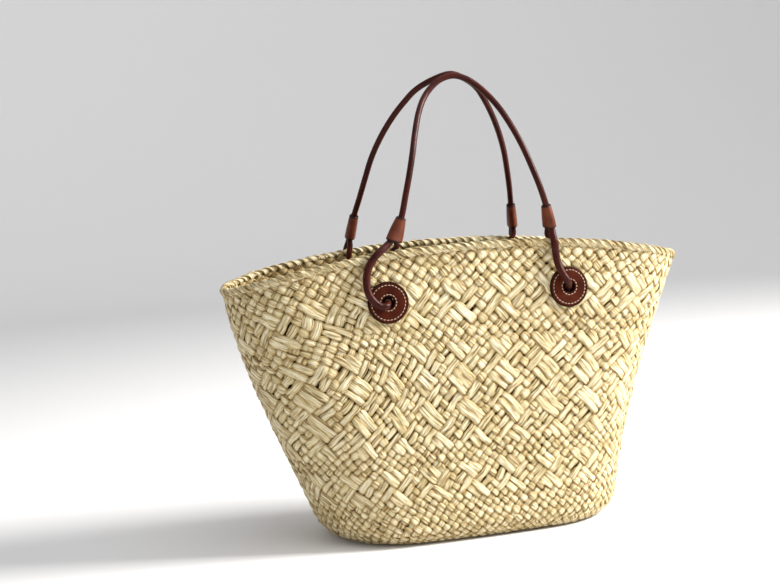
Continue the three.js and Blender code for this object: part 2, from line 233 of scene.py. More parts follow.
def ringFaces(rings, sides):
    # quads of a surface closed both ways, rings along and sides round, facing outwards
    ring, side = np.meshgrid(np.arange(rings), np.arange(sides), indexing="ij")
    nextRing, nextSide = (ring + 1) % rings, (side + 1) % sides
    return [np.stack([
        ring * sides + side, ring * sides + nextSide,
        nextRing * sides + nextSide, nextRing * sides + side,
    ], -1).reshape(-1, 4)]


def nodeOf(material, kind, links=(), **settings):
    # one shader node: settings are its own properties, or its sockets where a socket has that name
    node = material.node_tree.nodes.new(kind)
    for key, value in settings.items():
        if hasattr(node, key):
            setattr(node, key, value)
        else:
            node.inputs[key.replace("_", " ")].default_value = value
    for socket, source in dict(links).items():
        material.node_tree.links.new(source, node.inputs[socket])
    return node


def rampOf(material, source, stops):
    # colour ramp from (place, colour) pairs
    node = nodeOf(material, "ShaderNodeValToRGB", {"Fac": source})
    ramp = node.color_ramp
    while len(ramp.elements) < len(stops):
        ramp.elements.new(0.5)
    for element, (place, colour) in zip(ramp.elements, stops):
        element.position = place
        element.color = (*colour, 1)
    return node.outputs["Color"]


def mixOf(material, share, first, second, blend="MIX"):
    # colour mix; a plain tuple goes on the socket itself
    node = nodeOf(material, "ShaderNodeMix", data_type="RGBA", blend_type=blend)
    for index, value in ((0, share), (6, first), (7, second)):
        if isinstance(value, bpy.types.NodeSocket):
            material.node_tree.links.new(value, node.inputs[index])
        else:
            node.inputs[index].default_value = (*value, 1) if isinstance(value, tuple) else value
    return node.outputs[2]


def dress(piece, node):
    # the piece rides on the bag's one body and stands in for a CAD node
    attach(piece, "root")
    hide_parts(node)


def newMaterial(name):
    # a material with its Principled shader, whose sockets are filled by the caller
    material = bpy.data.materials.new(name)
    material.use_nodes = True
    return material, material.node_tree.nodes["Principled BSDF"]


def fillShader(material, shader, colour, bump, **sockets):
    # colour and bump are linked, and plain values go on the sockets
    material.node_tree.links.new(colour, shader.inputs["Base Color"])
    material.node_tree.links.new(bump, shader.inputs["Normal"])
    for key, value in sockets.items():
        shader.inputs[key.replace("_", " ")].default_value = value


straw = {
    "light": (0.94, 0.87, 0.65),
    "middle": (0.72, 0.60, 0.35),
    "dark": (0.34, 0.24, 0.11),
    "fibres": (70, 800, 1),  # noise scales along a strand, across it and from strand to strand
    "splits": (40, 400, 1),
    "patches": (14, 90, 1),
    "patchTint": (0.80, 0.73, 0.58),
    "splitTint": (0.42, 0.33, 0.20),
    "toneTints": ((0.70, 0.65, 0.50), (0.93, 0.92, 0.87)),
    # painted shade tints: the lighter one and the deepest one
    "hollowTints": ((0.72, 0.62, 0.45), (0.10, 0.065, 0.03)),
    "relief": 0.0024,
    # near-black of the sheet in the weave's middle: painted shade between the strands
    "gap": (0.012, 0.008, 0.004),
}
white = (1, 1, 1)


def strawMaterial():
    # streaks along the strand from its own lengths and widths, multiplied by veils: broad patches,
    #     # fine splits, a tone for each crossing and painted shade in the hollows
    material, shader = newMaterial("straw")

    def valueOf(name, output="Fac"):
        return nodeOf(material, "ShaderNodeAttribute", attribute_name=name).outputs[output]

    grain = valueOf("grain", "Vector")

    def streaksOf(label, detail):
        stretched = nodeOf(material, "ShaderNodeMapping", {"Vector": grain}, Scale=straw[label]).outputs[0]
        return nodeOf(
            material, "ShaderNodeTexNoise", {"Vector": stretched}, Scale=1.0, Detail=detail, Roughness=0.6
        ).outputs["Fac"]

    fine, split, broad = streaksOf("fibres", 3.0), streaksOf("splits", 1.0), streaksOf("patches", 2.0)
    colour = rampOf(material, fine, [(0.3, straw["dark"]), (0.43, straw["middle"]), (0.6, straw["light"])])
    worn, plain = straw["toneTints"]
    shaded, deep = straw["hollowTints"]
    veils = [
        (0.8, broad, [(0.3, straw["patchTint"]), (0.55, white)]),
        (0.9, split, [(0.33, straw["splitTint"]), (0.41, white)]),
        (0.9, valueOf("tone"), [(0, worn), (0.45, plain), (1, white)]),
        # painted shade: darker between crossings, under other strands and towards strand edges
        (1.0, valueOf("hollow"), [(0, white), (0.35, shaded), (1, deep)]),
    ]
    for share, source, stops in veils:
        colour = mixOf(material, share, colour, rampOf(material, source, stops), "MULTIPLY")
    height = nodeOf(material, "ShaderNodeMath", {0: fine, 1: split}, operation="ADD").outputs[0]
    bump = nodeOf(material, "ShaderNodeBump", {"Height": height}, Strength=1.0, Distance=straw["relief"])
    fillShader(material, shader, colour, bump.outputs[0], Roughness=0.55, Specular_IOR_Level=0.3)
    return material


def shadeSheetMaterial():
    # painted shade: a near-black that stands for the shade between the strands
    material, shader = newMaterial("gap")
    shader.inputs["Base Color"].default_value = (*straw["gap"], 1)
    shader.inputs["Roughness"].default_value = 0.9
    shader.inputs["Specular IOR Level"].default_value = 0.1
    return material


hide = {
    "creases": 0.35,  # scale of the creases against that of the pores
    "deep": 0.0004,
    "roughSpread": 0.07,
}


def leatherMaterial(name, finish):
    # grained leather: cloudy colour, pores and creases, and the dark edge colour where the edge value is high:
    # burnished edges, and on a sleeve's inner face painted shade
    material, shader = newMaterial(name)
    place = nodeOf(material, "ShaderNodeTexCoord").outputs["Object"]

    def noiseOf(scale, detail):
        node = nodeOf(material, "ShaderNodeTexNoise", {"Vector": place}, Scale=scale, Detail=detail)
        return node.outputs["Fac"]

    clouds = noiseOf(finish["clouds"], 4.0)
    creases = noiseOf(finish["pores"] * hide["creases"], 5.0)
    cells = nodeOf(material, "ShaderNodeTexVoronoi", {"Vector": place}, Scale=finish["pores"])
    colour = rampOf(material, clouds, [(0.3, finish["dark"]), (0.7, finish["light"])])
    edge = nodeOf(material, "ShaderNodeAttribute", attribute_name="edge").outputs["Fac"]
    colour = mixOf(material, edge, colour, finish["burnished"])
    height = nodeOf(material, "ShaderNodeMath", {0: cells.outputs["Distance"], 1: creases}, operation="ADD")
    bump = nodeOf(
        material, "ShaderNodeBump", {"Height": height.outputs[0]}, Strength=finish["relief"], Distance=hide["deep"]
    )
    rough = nodeOf(
        material, "ShaderNodeMapRange", {"Value": creases}, From_Min=0.3, From_Max=0.7,
        To_Min=finish["rough"] - hide["roughSpread"], To_Max=finish["rough"] + hide["roughSpread"],
    ).outputs[0]
    material.node_tree.links.new(rough, shader.inputs["Roughness"])
    fillShader(material, shader, colour, bump.outputs[0], Specular_IOR_Level=finish["shine"])
    return material


leathers = {
    "cord": {
        "dark": (0.026, 0.0040, 0.0024), "light": (0.054, 0.0086, 0.0050),
        "burnished": (0.012, 0.004, 0.003),
        "clouds": 60, "pores": 1800, "relief": 0.25, "rough": 0.3, "shine": 0.13,
    },
    "sleeve": {
        "dark": (0.080, 0.017, 0.007), "light": (0.155, 0.038, 0.016),
        "burnished": (0.010, 0.003, 0.002),
        "clouds": 90, "pores": 1500, "relief": 0.3, "rough": 0.36, "shine": 0.2,
    },
    "disc": {
        "dark": (0.036, 0.0054, 0.0016), "light": (0.074, 0.0120, 0.0034),
        "burnished": (0.006, 0.0015, 0.001),
        "clouds": 70, "pores": 1400, "relief": 0.3, "rough": 0.5, "shine": 0.06,
    },
}
thread = {"dark": (0.34, 0.23, 0.15), "light": (0.62, 0.47, 0.35), "stripes": 900.0}


def threadMaterial():
    # waxed cotton thread: twisted strands seen as slanted stripes across its own lengths
    material, shader = newMaterial("thread")
    grain = nodeOf(material, "ShaderNodeAttribute", attribute_name="grain").outputs["Vector"]
    stripes = nodeOf(
        material, "ShaderNodeTexWave", {"Vector": grain}, Scale=thread["stripes"], Distortion=1.0
    ).outputs["Fac"]
    colour = rampOf(material, stripes, [(0.1, thread["dark"]), (0.7, thread["light"])])
    bump = nodeOf(material, "ShaderNodeBump", {"Height": stripes}, Strength=0.3, Distance=0.0001)
    fillShader(material, shader, colour, bump.outputs[0], Roughness=0.6)
    return material


strawLook = strawMaterial()
shadeSheetLook = shadeSheetMaterial()
cordLook = leatherMaterial("cord_leather", leathers["cord"])
sleeveLook = leatherMaterial("sleeve_leather", leathers["sleeve"])
discLook = leatherMaterial("disc_leather", leathers["disc"])
threadLook = threadMaterial()
print("materials made")

# The handles' places, as in the part's source

disc = {
    "radius": 0.0203,
    "thick": 0.003,
    "hole": 0.006,
    "bevel": 0.0006,
    "across": 0.0933,
    "drop": 0.0474,
}
handle = {
    "leg": 0.0037,
    "archHigh": 0.166,
    "mouthWide": 0.0178,
    "mouthDeep": 0.0114,
    "sleeveTop": 0.0047,
    "sleeveWall": 0.0012,
    "tucked": 0.004,
    "rimClear": 0.8,
}
girths = {"end": 0.55, "inside": 0.78, "hole": 0.84, "outside": 1, "mouth": 0.9, "arch": 0.83}

# columns: up, across, lean
frontArch = [
    (0.3, 0.74, 1.03), (0.42, 0.675, 0.99), (0.54, 0.61, 0.92), (0.66, 0.54, 0.8), (0.78, 0.452, 0.655),
    (0.87, 0.354, 0.54), (0.93, 0.255, 0.487), (0.975, 0.14, 0.462), (0.995, 0, 0.455),
]
backArch = [
    (0.3, 0.89, 0.65), (0.42, 0.836, 0.52), (0.54, 0.776, 0.4), (0.66, 0.687, 0.265), (0.78, 0.566, 0.11),
    (0.87, 0.446, -0.03), (0.93, 0.345, -0.13), (0.98, 0.19, -0.25), (1.01, 0, -0.345),
]

# columns: out, up, off
curledLeg = [
    (0.404, 0.994, 0.85), (0.704, 0.846, 0.74), (0.906, 0.677, 0.68), (1.02, 0.466, 0.8), (0.989, 0.24, 1),
    (0.77, 0.062, 1.08), (0.434, -0.053, 1.08), (0.169, -0.06, 0.98),
]
slantedLeg = [
    (-0.66, 0.95, 0.78), (-0.62, 0.74, 0.68), (-0.57, 0.53, 0.8), (-0.4, 0.29, 1.1), (-0.15, 0.12, 1.12),
]
bowedLeg = [(0.04, 0.95, 0.78), (0.16, 0.74, 0.68), (0.25, 0.53, 0.9), (0.2, 0.29, 1.1), (0.08, 0.11, 1.06)]
innerLeg = [(0, 0.12, 1.12), (-0.05, 0.38, 1.08), (-0.15, 0.68, 1.1), (-0.3, 0.94, 1.26)]
straightInnerLeg = [(0, 0.12, 1.12), (0, 0.38, 1.08), (0.02, 0.68, 1.1), (0.02, 0.94, 1.26)]

ends = [
    {"name": "front_left", "side": -1, "hand": -1, "turn": 75, "leg": curledLeg, "inner": innerLeg,
     "mouth": (0.043, 0.885, 0.975), "top": (0.178, 0.8, 1.03)},
    {"name": "front_right", "side": -1, "hand": 1, "turn": 10, "leg": slantedLeg, "inner": innerLeg,
     "mouth": (0.057, 0.84, 0.975), "top": (0.19, 0.795, 1.03)},
    {"name": "back_left", "side": 1, "hand": -1, "turn": -15, "leg": bowedLeg, "inner": straightInnerLeg,
     "mouth": (0.055, 0.975, 0.93), "top": (0.195, 0.935, 0.79)},
    {"name": "back_right", "side": 1, "hand": 1, "turn": 12, "leg": bowedLeg, "inner": innerLeg,
     "mouth": (0.055, 0.98, 0.93), "top": (0.195, 0.935, 0.79)},
]


def discSeat(end):
    # the wall's point at a disc's centre and the wall's outward direction there
    x = end["hand"] * disc["across"]
    z = float(rimTop(x)) - disc["drop"]
    reach = disc["radius"]

    def onWall(px, pz):
        return np.array([px, end["side"] * wallHalfDeep(px, pz), pz])

    across = onWall(x + reach, z) - onWall(x - reach, z)
    upward = onWall(x, z + reach) - onWall(x, z - reach)
    out = unitVector(np.cross(across, upward))
    return onWall(x, z), out * np.sign(out[1] * end["side"])


def archPoint(end, row):
    # a row of an arch, or a sleeve's end, as a point: shares of the disc's place, half depth and arch
    up, across, lean = row
    return np.array([
        end["hand"] * across * disc["across"],
        end["side"] * lean * bag["rimDeep"] / 2,
        bag["high"] + up * handle["archHigh"],
    ])


def sleeveFrame(end):
    # mouth, top, axis, the direction from the inner to the outer leg at the mouth, and the third one
    mouth, top = archPoint(end, end["mouth"]), archPoint(end, end["top"])
    axis = unitVector(top - mouth)
    turn = math.radians(end["turn"])
    wide = np.array([end["hand"] * math.sin(turn), end["side"] * math.cos(turn), 0])
    wide = unitVector(wide - axis * (wide @ axis))
    return mouth, top, axis, wide, np.cross(axis, wide)


def legRoute(end):
    # points and girths of one handle end, from the tucked end down inside, out through the disc and up
    mouth, top, axis, wide, _ = sleeveFrame(end)
    centre, out = discSeat(end)

    def place(row, distance):
        x = centre[0] + end["hand"] * row[0] * disc["radius"]
        z = centre[2] + row[1] * disc["drop"]
        return np.array([x, end["side"] * (wallHalfDeep(x, z) + distance), z])

    gap, leg = bag["gap"], handle["leg"]
    overDisc = disc["thick"] + 2 * gap + leg
    innerRadius, outerRadius = leg * girths["inside"], leg * girths["mouth"]
    behindWall = bag["wall"] + gap + innerRadius
    innerMouth = mouth - wide * (outerRadius + gap / 2)
    outerMouth = mouth + wide * (innerRadius + gap / 2)
    halfRim = wallHalfDeep(mouth[0], float(rimTop(mouth[0])) - bag["braidHigh"]) - bag["wall"] / 2
    besideRim = halfRim - (bag["braidDeep"] / 2 + innerRadius) * handle["rimClear"]
    overRim = np.array([
        innerMouth[0],
        end["side"] * min(besideRim, innerMouth[1] * end["side"]),
        float(rimTop(mouth[0])) + innerRadius + 2 * gap,
    ])
    return [
        (innerMouth + axis * handle["tucked"], girths["end"]),
        (innerMouth, girths["inside"]),
        (overRim, girths["inside"]),
        *[(place(row, -behindWall * row[2]), girths["inside"]) for row in reversed(end["inner"])],
        (centre - out * bag["wall"], girths["hole"]),
        (centre + out * disc["thick"] / 2, girths["hole"]),
        *[(place(row, overDisc * row[2]), girths["outside"]) for row in reversed(end["leg"])],
        (outerMouth, girths["mouth"]),
        (mouth + (top - mouth) / 2 + wide * innerRadius / 2, girths["arch"]),
        (top, girths["arch"]),
    ]


seats = {end["name"]: discSeat(end) for end in ends}

# The weave

weave = {
    "round": 88,  # strands of each slant round the bag
    "firstDepth": 0.25,  # where the strands start below the rim, in units of one knot's width
    "underBase": 0.018,  # how far they run in across the base
    "sides": 8,
    "ringSteps": (0.0, 0.27, 0.5, 0.73),  # a strand's rings from one crossing to the next
    "settle": 0.12,  # how long a strand keeps its values on each side of a crossing
    "halfThick": (0.0012, 0.0009),  # pairs: falling strands, then rising ones
    "lift": (0.0013, 0.0010),
    "wideOver": (0.60, 0.52),
    "wideUnder": (0.54, 0.50),
    "pinch": (0.02, 0.07),
    "thinning": 0.15,
    "endShares": (0.6, 0.5),  # widths of a strand's first and last ring
    "holeOpen": 0.004,
    "holeReach": 0.016,
    "holeDeep": 0.02,
}

# spreads of the random draws: five for each crossing and one for each strand
uneven = {"wide": 0.06, "tilt": 0.10, "aside": 0.035, "tone": 0.22, "puff": 0.00018, "strandTone": 0.1}
middleTone = 0.55

# painted shade on a strand between crossings, under another strand and towards its edges
hollows = {"between": 0.46, "under": 0.25, "edge": 0.5, "edgeFrom": 0.6}

# how far the pattern drifts round the wall as it goes down: turn, its spread, amount and depth in units
drifts = [(0.585, 0.085, 3.0, 21)]

# slow waves that make the weave uneven, in units: height, number round the bag, slant with depth
wavesAside = [(0.08, 7, 0.9), (0.05, 13, -1.7)]
wavesDown = [(0.07, 9, 1.3), (0.05, 17, -0.8)]

# rows of the zigzag figures: depth below the rim and sideways place of their corners, in units
figureRows = [(4.5, 0.5), (9.5, 0.5), (12.5, 0.5), (15.5, 1.5), (20.5, 0.5)]
figure = {"wide": 4, "halfHigh": 1.75, "corner": 0.25}

table = {"lowest": -0.14, "highest": 1.02, "underSteps": 30, "edgeSteps": 40, "wallSteps": 300}
frontMiddle = 0.75  # share of the way round at the middle of the front wall


def depthTables():
    # depth in units against share of the height: lengths down the wall's middle over the local unit
    edgeAngles = np.linspace(0, math.pi / 2, table["edgeSteps"])
    edgeUps = (1 - np.cos(edgeAngles)) * bag["baseEdge"] / bag["high"]
    ups = np.concatenate([
        np.linspace(table["lowest"], 0, table["underSteps"])[:-1],
        edgeUps,
        np.linspace(edgeUps[-1], table["highest"], table["wallSteps"])[1:],
    ])
    unit = 4 * ovalParts(*wallSection(ups)[:3])[3] / weave["round"]
    line = wallPoint(np.full(len(ups), frontMiddle), ups)
    steps = np.linalg.norm(np.diff(line, axis=0), axis=1) / ((unit[1:] + unit[:-1]) / 2)
    run = np.concatenate([[0], np.cumsum(steps)])
    depth = np.interp(1, ups, run) - run
    return ups[::-1], depth[::-1]


upTable, depthTable = depthTables()
deepest = np.interp(-weave["underBase"] / bag["high"], upTable[::-1], depthTable[::-1])


def upperAt(index, other):
    # True where the falling strand lies over the rising one: rows of knots by turns, and in the
    # figure rows blocks of floats round each corner
    depth = (other - index) / 2
    across = (index + other + 1) / 2
    over = (index + other) % 2 == 0
    halfWide = figure["wide"] / 2
    for rowDepth, rowAcross in figureRows:
        away = np.abs(depth - rowDepth)
        aside = np.abs((across - rowAcross + halfWide) % figure["wide"] - halfWide)
        floats = (aside < away) | (aside > halfWide - figure["corner"])
        over = np.where(away < figure["halfHigh"], floats, over)
    return over


def carry(values, place):
    # values at whole places carried along as smooth steps
    low = np.floor(place).astype(int)
    share = ease((place - low - weave["settle"]) / (1 - 2 * weave["settle"]))
    last = values.shape[1] - 1
    low, high = np.clip(low, 0, last), np.clip(low + 1, 0, last)
    return values[:, low] * (1 - share) + values[:, high] * share


def driftOf(turn, depth, middle, spread, amount, reach):
    # a bell curve round the wall times a squared sine down to the depth that it reaches
    away = (turn - middle + 0.5) % 1 - 0.5
    bell = np.exp(-((away / spread) ** 2))
    return amount * bell * np.sin(math.pi * np.clip(depth / reach, 0, 1)) ** 2


def waveSum(waves, across, depth):
    # sum of sines of the way round and the depth
    turn = 2 * math.pi * across / weave["round"]
    return sum(high * np.sin(count * turn + slant * depth) for high, count, slant in waves)


def driftedTurn(across, depth):
    # share of the way round for a place in the weave
    across = across + waveSum(wavesAside, across, depth)
    for drift in drifts:
        across = across + driftOf(across / weave["round"], depth, *drift)
    return across / weave["round"]


def flatSection(half, thick, sides):
    # a flattened round: across is the cosine and outward the sine, both drawn a little to the square
    angle = -2 * math.pi * (np.arange(sides) + 0.5) / sides
    c, s = np.cos(angle), np.sin(angle)
    across = np.sign(c) * np.abs(c) ** 0.9
    outward = np.sign(s) * np.abs(s) ** 0.8
    return across * half[..., None], outward * thick[..., None]


def bandPoints(centre, normal, half, thick, tilt, sides):
    # a flat strip carried along each path: across lies along the surface, outward along its normal
    run = unitVector(np.gradient(centre, axis=1))
    across = unitVector(np.cross(normal, run))
    outward = np.cross(run, across)
    a, o = flatSection(half, thick, sides)
    turned = a * np.cos(tilt)[..., None] - o * np.sin(tilt)[..., None]
    raised = a * np.sin(tilt)[..., None] + o * np.cos(tilt)[..., None]
    points = centre[:, :, None] + across[:, :, None] * turned[..., None]
    return points + outward[:, :, None] * raised[..., None], a


def lengthAlong(centre):
    # the length of each path up to each of its rings
    spaced = np.linalg.norm(np.diff(centre, axis=1), axis=-1)
    return np.concatenate([np.zeros((len(centre), 1)), np.cumsum(spaced, axis=1)], axis=1)


def grainOf(along, across, seed):
    # lengths along and across each strand, and a number that keeps its noise apart from the others
    return np.stack([
        np.broadcast_to(along[..., None], across.shape),
        across,
        np.broadcast_to(seed[..., None], across.shape),
    ], -1)


def openHoles(points):
    # strands pushed aside round each disc's hole: the distance from the hole's axis is stretched
    for centre, out in seats.values():
        away = points - centre
        along = away @ out
        aside = away - along[..., None] * out
        distance = np.linalg.norm(aside, axis=-1)
        near = (np.abs(along) < weave["holeDeep"]) & (distance < weave["holeReach"])
        stretched = weave["holeOpen"] + distance * (1 - weave["holeOpen"] / weave["holeReach"])
        factor = np.where(near, stretched / np.maximum(distance, 1e-6), 1)
        points = points + aside * (factor - 1)[..., None]
    return points


def strandFamily(slant):
    # strands of one slant (1 falling to the right, -1 rising): paths of constant difference or sum of
    # depth and place round the wall, which pass over and under at every crossing
    count = weave["round"]
    lift, wideOver, wideUnder, pinch, halfThick = (
        weave[key][0 if slant > 0 else 1] for key in ("lift", "wideOver", "wideUnder", "pinch", "halfThick")
    )
    crossings = int(2 * deepest)
    strand = np.arange(count)[:, None]
    crossing = np.arange(crossings + 2)[None, :]
    if slant > 0:
        over = upperAt(strand, strand + crossing)
    else:
        over = ~upperAt(strand - crossing, strand)
    place = (np.arange(crossings)[:, None] + np.array(weave["ringSteps"])[None, :]).ravel()
    place = place[(place >= 2 * weave["firstDepth"]) & (place <= 2 * deepest)]
    height = carry(np.where(over, 1.0, -1.0), place)
    wider, tilt, aside = (
        carry(dice.normal(0, uneven[key], over.shape), place) for key in ("wide", "tilt", "aside")
    )
    tone = carry(np.clip(dice.normal(middleTone, uneven["tone"], over.shape), 0, 1), place)
    strandTone = dice.normal(0, uneven["strandTone"], (count, 1))
    puff = carry(dice.normal(0, uneven["puff"], over.shape), place)

    depth = place[None, :] / 2 + aside * 0.5
    across = strand + 0.5 + slant * place[None, :] / 2 - slant * aside * 0.5
    up = np.interp(depth + waveSum(wavesDown, across, depth) * ease(depth / 2), depthTable, upTable)
    turn = driftedTurn(across, depth)
    normal = wallNormal(turn, up)
    middle = wallPoint(turn, up) - normal * (bag["wall"] / 2)
    centre = middle + normal * (height * lift + puff)[..., None]

    # the distance to the next strand, square to the run
    between = 1 - np.abs(height)
    step = wallPoint(driftedTurn(across + 1, depth), up) - wallPoint(turn, up)
    run = unitVector(np.gradient(middle, axis=1))
    spacing = np.linalg.norm(step - (step * run).sum(-1, keepdims=True) * run, axis=-1)
    half = spacing * (np.where(height > 0, wideOver, wideUnder) + wider - pinch * between)
    half[:, [0, -1]] *= weave["endShares"]
    thick = halfThick * (1 - weave["thinning"] * between)
    points, a = bandPoints(centre, normal, half, thick, tilt, weave["sides"])
    points = openHoles(points)
    points[..., 2] = np.maximum(points[..., 2], 0)

    grain = grainOf(lengthAlong(centre), a, dice.uniform(0, 400, (count, 1)))
    # painted shade: darker where the strand dips between crossings, lies under another and turns away at its edges
    toEdge = (np.abs(a) / half[..., None] - hollows["edgeFrom"]) / (1 - hollows["edgeFrom"])
    shadeBetweenAndUnder = (hollows["between"] * between + hollows["under"] * (height < 0))[..., None]
    hollow = np.clip(shadeBetweenAndUnder + hollows["edge"] * np.clip(toEdge, 0, 1), 0, 1)
    tones = np.clip(np.broadcast_to((tone + strandTone)[..., None], a.shape), 0, 1)
    return points, grain, tones, hollow


def addStrands(name, points, grain, tones, hollow, replaced):
    # one piece from a batch of strands
    piece = meshObject(
        name, points, tubeFaces(*points.shape[:3]), strawLook,
        grain=grain.reshape(-1, 3), tone=tones.reshape(-1, 1), hollow=hollow.reshape(-1, 1),
    )
    dress(piece, replaced)


batches = 3
for label, slant in (("falling", 1), ("rising", -1)):
    made = strandFamily(slant)
    for batch in range(batches):
        part = slice(batch * weave["round"] // batches, (batch + 1) * weave["round"] // batches)
        addStrands(f"strands_{label}_{batch + 1}", *[values[part] for values in made], "basket_body")


shadeSheet = {"round": 184, "down": 56, "halfThick": 0.00006, "end": 1.0, "lowest": 0.0006}


def addShadeSheet():
    # a thin sheet through the middle of the weave, so that no light passes between the strands; its near-black
    # colour is painted shade in the gaps
    depth = np.linspace(shadeSheet["end"], deepest - shadeSheet["end"], shadeSheet["down"])[:, None]
    turn = np.arange(shadeSheet["round"])[None, :] / shadeSheet["round"] + 0 * depth
    up = np.interp(depth, depthTable, upTable) + 0 * turn
    normal = wallNormal(turn, up)
    middle = wallPoint(turn, up) - normal * (bag["wall"] / 2)
    inside = middle - normal * shadeSheet["halfThick"]
    outside = middle + normal * shadeSheet["halfThick"]
    points = np.concatenate([inside, outside[::-1]])
    points[..., 2] = np.maximum(points[..., 2], shadeSheet["lowest"])
    piece = meshObject("painted_shade_sheet", points, ringFaces(*points.shape[:2]), shadeSheetLook)
    dress(piece, "basket_body")


addShadeSheet()
print("wall woven")

# The rim

rim = {
    "wraps": 124,
    "rings": 14,
    "sides": 8,
    "coreDeep": 0.0017,
    "coreHigh": 0.0027,
    "halfWide": 0.0046,
    "halfThick": 0.0008,
    "tilt": 9,  # degrees by which each wrap laps over the next
    "start": -72,  # where a wrap starts, in degrees round the edge from straight outwards
    "sweep": 276,
    "climb": 1.35,
    "back": 0.4,  # how far a wrap's end lies before its place, and its start beyond it, in wraps
    "reach": 2.3,
    "straighten": 1.1,
    "tip": 0.0009,
    "widen": 7,  # how quickly the ends widen, and the squares of their first widths
    "endShares": (0.35, 0.75),
    "tone": 0.6,
    "edgeShade": 0.62,  # painted shade at a wrap's edges outside, and how much of it fades to the inside
    "edgeFade": 0.45,
    "fadeFrom": 0.3,
    "fadeOver": 0.3,
    # painted shade where a wrap's end runs in under the next wraps
    "shadeAtEndFrom": 0.85,
    "shadeAtEndAmount": 0.2,
}

# spreads of the random draws for each wrap, angles in degrees
rimUneven = {"angle": 5, "reach": 0.05, "wide": 0.08, "tilt": 4, "tone": 0.2}


def rimWraps():
    # wraps wound round the rim's edge: each starts low outside, runs back and up over the edge and
    # ends low inside; the angle grows with a power of the share and the reach falls with one
    count = rim["wraps"]
    share = np.linspace(0, 1, rim["rings"])[None, :]
    wrap = np.arange(count)[:, None]
    draws = dice.normal(0, 1, (6, count, 1))
    angleMore, reachMore, wideMore, tiltMore, toneMore = (
        draw * spread for draw, spread in zip(draws, rimUneven.values())
    )
    angle = np.radians(rim["start"] + angleMore + rim["sweep"] * share ** rim["climb"])
    ahead = rim["reach"] * (1 + reachMore) * (1 - share) ** rim["straighten"]
    turn = (wrap + 0.5 - rim["back"] + ahead) / count
    up = np.full(turn.shape, rimSeat)
    out = unitVector(wallNormal(turn, up) * np.array([1, 1, 0]))
    upright = np.broadcast_to(np.array([0.0, 0, 1]), out.shape)
    core = wallPoint(turn, up) - out * (bag["wall"] / 2)
    core[..., 2] += (bag["gap"] + bag["braidHigh"]) - rim["coreHigh"] - rim["halfThick"]
    grow = rim["tip"] * (1 - share) ** 2 * np.cos(angle).clip(0)
    centre = (
        core
        + out * (rim["coreDeep"] * np.cos(angle) + grow)[..., None]
        + upright * (rim["coreHigh"] * np.sin(angle))[..., None]
    )
    normal = unitVector(out * np.cos(angle)[..., None] + upright * np.sin(angle)[..., None])
    first, last = rim["endShares"]
    ending = np.minimum(share * rim["widen"] + first, (1 - share) * rim["widen"] + last)
    ending = np.minimum(1, ending) ** 0.5
    half = rim["halfWide"] * (1 + wideMore) * ending
    thick = rim["halfThick"] * ending * np.ones((count, 1))
    tilt = np.radians(rim["tilt"] + tiltMore) * np.ones_like(share)
    points, a = bandPoints(centre, normal, half, thick, tilt, rim["sides"])
    grain = grainOf(lengthAlong(centre), a, dice.uniform(400, 800, (count, 1)))
    tones = np.clip(rim["tone"] + toneMore[..., None] + 0 * a, 0, 1)
    # painted shade: at the wraps' ends inside, and at their edges outside, fading inwards
    shadeAtEnd = ease((share - rim["shadeAtEndFrom"]) / (1 - rim["shadeAtEndFrom"])) * rim["shadeAtEndAmount"]
    dark = rim["edgeShade"] - rim["edgeFade"] * ease((share - rim["fadeFrom"]) / rim["fadeOver"])
    shadeAtEdge = (np.abs(a) / half[..., None] > 0.9) * dark[..., None]
    return points, grain, tones, np.clip(shadeAtEnd[..., None] + shadeAtEdge, 0, 1)


addStrands("rim_wraps", *rimWraps(), "rim_braid")
print("rim wrapped")

# The base's plate

plate = {
    "spacing": 0.0063,
    "inset": 0.036,
    "ovalPower": 2.6,
    "height": 0.0034,
    "halfThick": 0.0007,
    "lift": 0.0009,
    "flatten": 0.6,
    "wide": 0.46,
    "wider": 0.06,
    "uneven": 0.04,
    "endShare": 0.6,
    "perCrossing": 3,
    "sides": 6,
}


def basePlate():
    # straight strips across the base at both slants, over and under by turns, cut to an oval
    spacing, per = plate["spacing"], plate["perCrossing"]
    halfWide = bag["baseWide"] / 2 - plate["inset"]
    halfDeep = bag["baseDeep"] / 2 - plate["inset"]
    reach = int(math.hypot(halfWide, halfDeep) / spacing) + 1
    crossing = np.arange(-reach, reach + 1)
    parts = []
    for slant in (1, -1):
        run = np.array([1, slant, 0]) / math.sqrt(2)
        side = np.array([-slant, 1, 0]) / math.sqrt(2)
        for strip in range(-reach, reach + 1):
            start = side * strip * spacing
            aside = np.abs(start + run * (crossing * spacing)[:, None])
            power = plate["ovalPower"]
            inside = ((aside[:, 0] / halfWide) ** power + (aside[:, 1] / halfDeep) ** power) < 1
            if inside.sum() < 3:
                continue
            chosen = crossing[inside]
            steps = np.arange(chosen[0] * per - 1, chosen[-1] * per + 2) / per
            phase = np.cos(math.pi * steps) * (1 if (strip % 2 == 0) else -1) * slant
            height = np.sign(phase) * np.abs(phase) ** plate["flatten"]
            line = start + run * (steps * spacing)[:, None]
            line[:, 2] = plate["height"] + plate["lift"] * height
            half = spacing * (plate["wide"] + plate["wider"] * height) * (1 + dice.normal(0, plate["uneven"]))
            half[[0, -1]] *= plate["endShare"]
            normal = np.broadcast_to(np.array([0, 0, -1.0]), line.shape)
            points, a = bandPoints(
                line[None], normal[None], half[None], np.full((1, len(line)), plate["halfThick"]),
                np.zeros((1, len(line))), plate["sides"],
            )
            grain = grainOf((steps * spacing)[None], a, dice.uniform(0, 900, (1, 1)))
            tone = np.full(a.shape, np.clip(dice.normal(0.5, 0.2), 0, 1))
            # painted shade: darker between crossings, where a strip dips
            hollow = np.broadcast_to((0.6 * (1 - np.abs(height)))[None, :, None], a.shape)
            parts.append((points[0], grain[0], tone[0], hollow[0]))
    return parts


